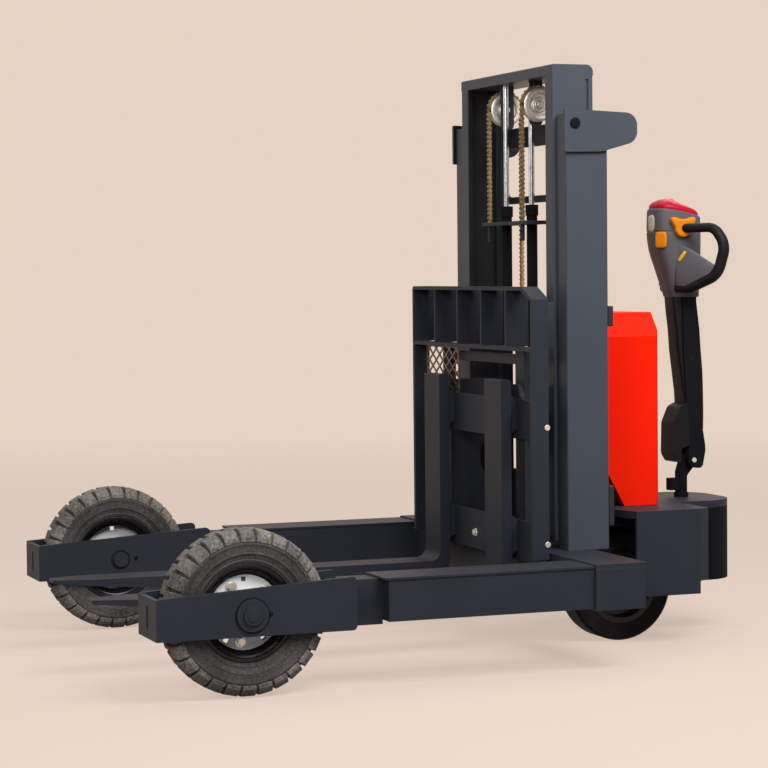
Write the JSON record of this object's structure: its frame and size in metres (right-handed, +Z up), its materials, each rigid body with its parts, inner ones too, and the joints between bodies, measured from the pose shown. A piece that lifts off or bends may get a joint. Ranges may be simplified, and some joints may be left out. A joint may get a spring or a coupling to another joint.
{
  "type": "electric pallet stacker",
  "caption": "Straddle pallet stacker with large front wheels, two-stage chain mast, fork carriage, steered drive wheel and tiller.",
  "frame": {"origin": "on the floor under the middle of the machine's length and width", "axes": "+X towards the fork tips, +Y to the machine's left side, +Z up"},
  "size_m": [1.926, 1.458, 1.586],
  "materials": {
    "frame_paint": "satin powder coat",
    "rim_paint": "satin paint",
    "block_tyre": "moulded, dusty",
    "drive_rubber": "matte",
    "drive_metal": "painted cast",
    "cover_red": "gloss paint",
    "battery_case": "matte",
    "polished_rod": "polished",
    "chain_steel": "oiled",
    "bright_steel": "zinc plated",
    "moulded_black": "fine grain",
    "handle_black": "matte",
    "cap_red": "gloss"
  },
  "bodies": {
    "chassis": {"leg_left": "frame_paint", "leg_right": "frame_paint", "front_axle_left": "frame_paint", "front_axle_right": "frame_paint", "base_beam": "frame_paint", "outer_upright_left": "frame_paint", "outer_upright_right": "frame_paint", "mast_brace": "frame_paint", "mast_crossbars": "frame_paint", "lift_cylinders": "frame_paint", "chain_anchor": "frame_paint", "chain_fixed_runs": "chain_steel", "deck": "frame_paint", "drive_cover_left": "frame_paint", "drive_cover_right": "frame_paint", "rear_nose": "frame_paint", "chassis_spine": "frame_paint", "battery_cover": "cover_red", "battery": "battery_case", "caster_mount": "frame_paint"},
    "wheel_left": {"front_tyre_left": "block_tyre", "front_rim_left": "rim_paint"},
    "wheel_right": {"front_tyre_right": "block_tyre", "front_rim_right": "rim_paint"},
    "inner_mast": {"inner_upright_left": "frame_paint", "inner_upright_right": "frame_paint", "inner_mast_top": "frame_paint", "inner_mast_ties": "frame_paint", "lift_rods": "polished_rod", "mast_rollers": "bright_steel", "chain_wraps": "chain_steel", "chain_carriage_runs": "chain_steel", "chain_sheaves": "bright_steel"},
    "carriage": {"backrest": "frame_paint", "carriage_frame": "frame_paint", "carriage_mesh": "bright_steel", "carriage_rollers": "bright_steel", "fork_left": "frame_paint", "fork_right": "frame_paint"},
    "drive_head": {"drive_unit": "drive_metal"},
    "drive_roll": {"drive_hub": "drive_metal", "drive_tyre": "drive_rubber"},
    "caster_swivel": {"caster_fork": "frame_paint"},
    "caster_roll": {"caster_wheel": "drive_rubber"},
    "tiller_swivel": {"tiller_base": "frame_paint"},
    "tiller_lever": {"tiller_arm": "frame_paint", "tiller_boot": "moulded_black", "tiller_head": "moulded_black", "tiller_cap": "cap_red", "handle_loops": "handle_black"}
  },
  "joints": [
    {"name": "wheel_left_spin", "type": "hinge", "parent": "chassis", "child": "wheel_left", "pos_m": [0.682, 0.632, 0.207], "axis": [0, 1, 0], "continuous": true},
    {"name": "wheel_right_spin", "type": "hinge", "parent": "chassis", "child": "wheel_right", "pos_m": [0.682, -0.632, 0.207], "axis": [0, 1, 0], "continuous": true},
    {"name": "inner_mast_lift", "type": "slide", "parent": "chassis", "child": "inner_mast", "axis": [0, 0, 1], "range_m": [0, 0.7], "deforming": ["chain_fixed_runs"]},
    {"name": "carriage_lift", "type": "slide", "parent": "inner_mast", "child": "carriage", "axis": [0, 0, 1], "range_m": [0, 0.7], "deforming": ["chain_carriage_runs"]},
    {"name": "drive_steer", "type": "hinge", "parent": "chassis", "child": "drive_head", "pos_m": [-0.553, 0.17, 0.153], "axis": [0, 0, 1], "range_deg": [-90, 90]},
    {"name": "drive_wheel_spin", "type": "hinge", "parent": "drive_head", "child": "drive_roll", "pos_m": [-0.553, 0.17, 0.153], "axis": [0, 1, 0], "continuous": true},
    {"name": "caster_turn", "type": "hinge", "parent": "chassis", "child": "caster_swivel", "pos_m": [-0.608, -0.22, 0.19], "axis": [0, 0, 1], "continuous": true},
    {"name": "caster_spin", "type": "hinge", "parent": "caster_swivel", "child": "caster_roll", "pos_m": [-0.644, -0.22, 0.075], "axis": [0, 1, 0], "continuous": true},
    {"name": "tiller_turn", "type": "hinge", "parent": "chassis", "child": "tiller_swivel", "pos_m": [-0.851, 0, 0.4], "axis": [0, 0, 1], "range_deg": [-90, 90]},
    {"name": "tiller_tilt", "type": "hinge", "parent": "tiller_swivel", "child": "tiller_lever", "pos_m": [-0.872, 0, 0.48], "axis": [0, -1, 0], "range_deg": [0, 75], "stiffness_Nm_per_rad": 45, "springref_deg": -28.65}
  ],
  "couplings": [
    {"joint": "carriage_lift", "follows": "inner_mast_lift", "ratio": 1},
    {"joint": "tiller_turn", "follows": "drive_steer", "ratio": 1}
  ]
}
